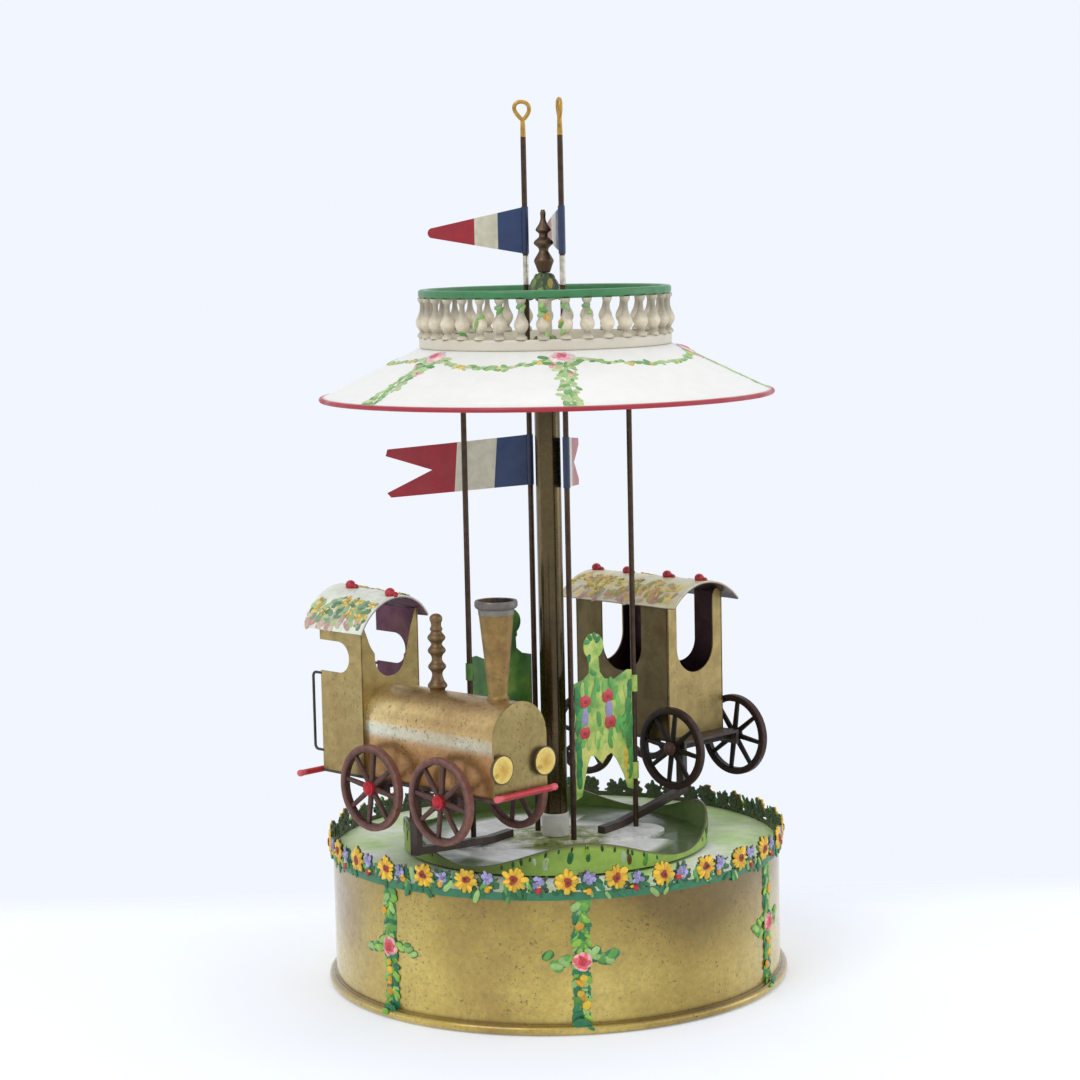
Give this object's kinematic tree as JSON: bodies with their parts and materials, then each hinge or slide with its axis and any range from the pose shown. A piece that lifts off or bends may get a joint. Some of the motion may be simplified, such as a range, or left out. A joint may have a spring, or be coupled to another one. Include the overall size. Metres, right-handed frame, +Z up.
{
  "type": "tin carousel toy",
  "caption": "Hand-cranked tin carousel: a steam engine and a carriage circle a column under a flowered canopy with a gallery, flags and a brass drum base.",
  "frame": {"origin": "middle of the drum's flat underside, on the turning axis", "axes": "+Z up along the column, -Y towards the front that the picture shows, crank at +Y"},
  "size_m": [0.173, 0.1874, 0.3112],
  "materials": {
    "aged_brass": "mottled, aged",
    "dark_brass": "dark, worn",
    "steel": "plain",
    "green_paint": "brushed by hand",
    "deep_green_paint": "brushed",
    "cream_paint": "satin",
    "pale_floral_paint": "floral",
    "striped_flag_paint": "satin",
    "red_paint": "gloss",
    "yellow_paint": "gloss",
    "brown_paint": "satin",
    "turned_wood": "stained"
  },
  "bodies": {
    "base": {"drum_wall": "aged_brass", "floor_plate": "aged_brass", "deck_plate": "green_paint", "flower_fence": "deep_green_paint", "spindle_bush": "aged_brass", "step_cup": "aged_brass", "crank_bush": "aged_brass", "crank_bracket": "aged_brass"},
    "carousel": {"spindle": "steel", "crown_wheel": "aged_brass", "turntable_pan": "deep_green_paint", "hub_plate": "cream_paint", "hub_sleeve": "cream_paint", "column_tube": "aged_brass", "canopy": "cream_paint", "gallery_foot": "cream_paint", "gallery_balusters": "cream_paint", "gallery_rail": "green_paint", "finial_pedestal": "green_paint", "finial": "dark_brass", "stay_rod_left": "dark_brass", "stay_rod_right": "dark_brass", "figure_panel_front": "green_paint", "figure_panel_rear": "green_paint", "engine_arm": "brown_paint", "engine_chassis": "aged_brass", "boiler": "aged_brass", "smokebox_front": "aged_brass", "lamps": "yellow_paint", "front_buffer": "red_paint", "rear_buffer": "red_paint", "cab": "aged_brass", "cab_roof": "pale_floral_paint", "cab_roof_berries": "red_paint", "cab_handrails": "brown_paint", "chimney": "aged_brass", "steam_dome": "aged_brass", "carriage_arm": "brown_paint", "carriage_chassis": "aged_brass", "carriage_body": "aged_brass", "carriage_roof": "pale_floral_paint", "carriage_roof_berries": "red_paint"},
    "left_pole": {"flag_pole_left": "dark_brass", "pennant_left": "striped_flag_paint", "swallowtail_left": "striped_flag_paint"},
    "right_pole": {"flag_pole_right": "dark_brass", "pennant_right": "striped_flag_paint", "swallowtail_right": "striped_flag_paint"},
    "crank": {"crank_handle": "dark_brass", "drive_pinion": "aged_brass"},
    "knob": {"crank_knob": "turned_wood"},
    "engine_front_wheelset": {"engine_front_axle_pin": "brown_paint", "engine_front_wheels": "brown_paint"},
    "engine_rear_wheelset": {"engine_rear_axle_pin": "brown_paint", "engine_rear_wheels": "brown_paint"},
    "carriage_front_wheelset": {"carriage_front_axle_pin": "brown_paint", "carriage_front_wheels": "brown_paint"},
    "carriage_rear_wheelset": {"carriage_rear_axle_pin": "brown_paint", "carriage_rear_wheels": "brown_paint"}
  },
  "joints": [
    {"name": "carousel_turn", "type": "hinge", "parent": "base", "child": "carousel", "pos_m": [0, 0, 0.0472], "axis": [0, 0, 1], "continuous": true},
    {"name": "crank_turn", "type": "hinge", "parent": "base", "child": "crank", "pos_m": [0, 0.08, 0.02845], "axis": [0, 1, 0], "continuous": true},
    {"name": "knob_spin", "type": "hinge", "parent": "crank", "child": "knob", "pos_m": [0, 0.097, 0.01045], "axis": [0, 1, 0], "continuous": true},
    {"name": "left_pole_swivel", "type": "hinge", "parent": "carousel", "child": "left_pole", "pos_m": [-0.0064, 0.008, 0.1], "axis": [0, 0, 1], "range_deg": [-75, 30]},
    {"name": "right_pole_swivel", "type": "hinge", "parent": "carousel", "child": "right_pole", "pos_m": [0.0064, -0.008, 0.1], "axis": [0, 0, 1], "range_deg": [-40, 4]},
    {"name": "engine_front_roll", "type": "hinge", "parent": "carousel", "child": "engine_front_wheelset", "pos_m": [-0.02616, -0.05303, 0.0764], "axis": [0.7071, 0.7071, 0], "continuous": true},
    {"name": "engine_rear_roll", "type": "hinge", "parent": "carousel", "child": "engine_rear_wheelset", "pos_m": [-0.05091, -0.02828, 0.0764], "axis": [0.7071, 0.7071, 0], "continuous": true},
    {"name": "carriage_front_roll", "type": "hinge", "parent": "carousel", "child": "carriage_front_wheelset", "pos_m": [0.05515, 0.02404, 0.0776], "axis": [0.7071, 0.7071, 0], "continuous": true},
    {"name": "carriage_rear_roll", "type": "hinge", "parent": "carousel", "child": "carriage_rear_wheelset", "pos_m": [0.02404, 0.05515, 0.0776], "axis": [0.7071, 0.7071, 0], "continuous": true}
  ],
  "couplings": [
    {"joint": "crank_turn", "follows": "carousel_turn", "ratio": -4}
  ]
}
